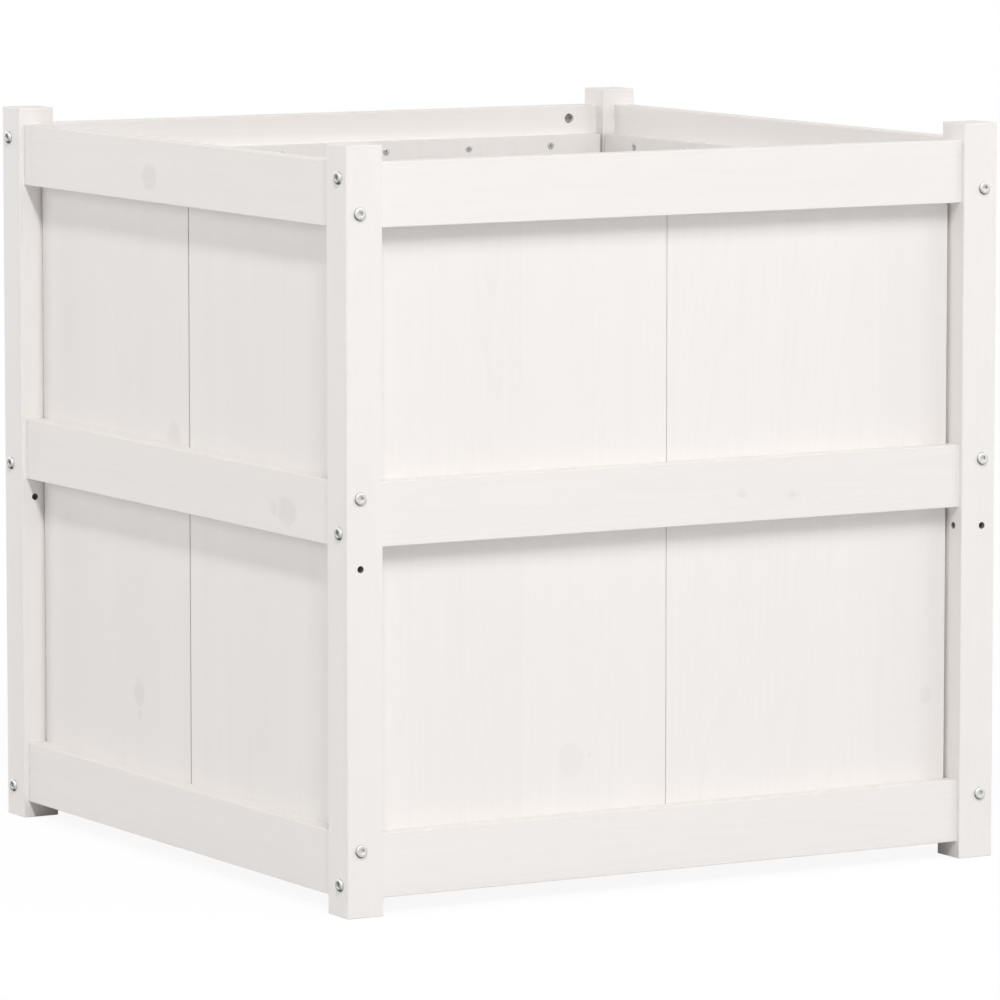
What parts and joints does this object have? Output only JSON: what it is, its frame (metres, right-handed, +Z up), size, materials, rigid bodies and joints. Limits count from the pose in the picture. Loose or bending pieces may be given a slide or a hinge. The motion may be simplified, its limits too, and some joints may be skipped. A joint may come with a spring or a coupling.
{
  "type": "wooden planter",
  "caption": "Square free-standing planter box of white painted pine, with bolted rails and board walls between corner posts and a slatted draining floor for soil and plants.",
  "frame": {"origin": "on the ground, in the middle of the square footprint", "axes": "+Z up; -Y is the front wall and +X its right-hand side as seen from the front"},
  "size_m": [0.7048, 0.7048, 0.7],
  "materials": {
    "white_painted_pine": "thin matt white paint over planed pine, with the grain and knots just showing",
    "zinc_steel": "bright zinc plate",
    "beech_dowel": "bare turned beech"
  },
  "bodies": {
    "root": {"barrel_nuts": "zinc_steel", "bearer_screws": "zinc_steel", "floor_slat_1": "white_painted_pine", "floor_slat_2": "white_painted_pine", "floor_slat_3": "white_painted_pine", "floor_slat_4": "white_painted_pine", "floor_slat_5": "white_painted_pine", "floor_slat_6": "white_painted_pine", "floor_slat_7": "white_painted_pine", "floor_slat_8": "white_painted_pine", "floor_slat_9": "white_painted_pine", "front_bottom_rail": "white_painted_pine", "front_floor_bearer": "white_painted_pine", "front_left_panel": "white_painted_pine", "front_left_post": "white_painted_pine", "front_middle_rail": "white_painted_pine", "front_right_panel": "white_painted_pine", "front_right_post": "white_painted_pine", "front_top_rail": "white_painted_pine", "left_bottom_rail": "white_painted_pine", "left_front_panel": "white_painted_pine", "left_middle_rail": "white_painted_pine", "left_rear_panel": "white_painted_pine", "left_top_rail": "white_painted_pine", "panel_screws": "zinc_steel", "rail_bolts": "zinc_steel", "rail_dowels": "beech_dowel", "rear_bottom_rail": "white_painted_pine", "rear_floor_bearer": "white_painted_pine", "rear_left_panel": "white_painted_pine", "rear_left_post": "white_painted_pine", "rear_middle_rail": "white_painted_pine", "rear_right_panel": "white_painted_pine", "rear_right_post": "white_painted_pine", "rear_top_rail": "white_painted_pine", "right_bottom_rail": "white_painted_pine", "right_front_panel": "white_painted_pine", "right_middle_rail": "white_painted_pine", "right_rear_panel": "white_painted_pine", "right_top_rail": "white_painted_pine", "slat_screws": "zinc_steel"}
  },
  "joints": []
}
